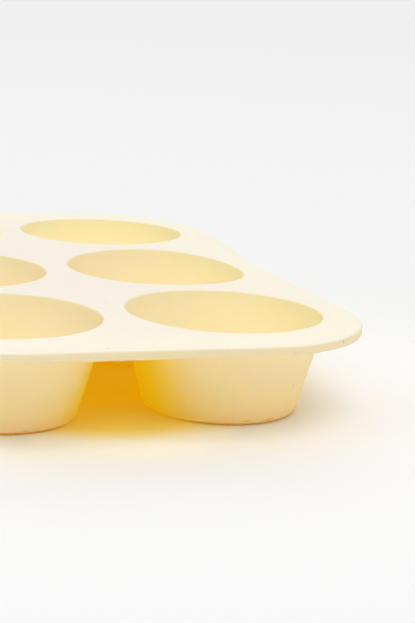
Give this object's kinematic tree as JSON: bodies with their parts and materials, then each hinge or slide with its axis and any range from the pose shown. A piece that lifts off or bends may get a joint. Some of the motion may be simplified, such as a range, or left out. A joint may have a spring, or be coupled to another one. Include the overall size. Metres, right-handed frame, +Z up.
{
  "type": "silicone muffin pan",
  "caption": "Flexible muffin pan: a flat deck with broad round corners carries rows of tapered, flat-bottomed cups with rounded lips.",
  "frame": {"origin": "on the table, under the middle of the deck", "axes": "+X across the columns of cups, +Y along them from the front cups to the back ones, +Z up out of the cups"},
  "size_m": [0.176, 0.273, 0.035],
  "materials": {
    "silicone": "satin, translucent cream"
  },
  "bodies": {
    "root": {"deck": "silicone", "cup_front_left": "silicone", "cup_front_right": "silicone", "cup_middle_left": "silicone", "cup_middle_right": "silicone", "cup_back_left": "silicone", "cup_back_right": "silicone"}
  },
  "joints": []
}
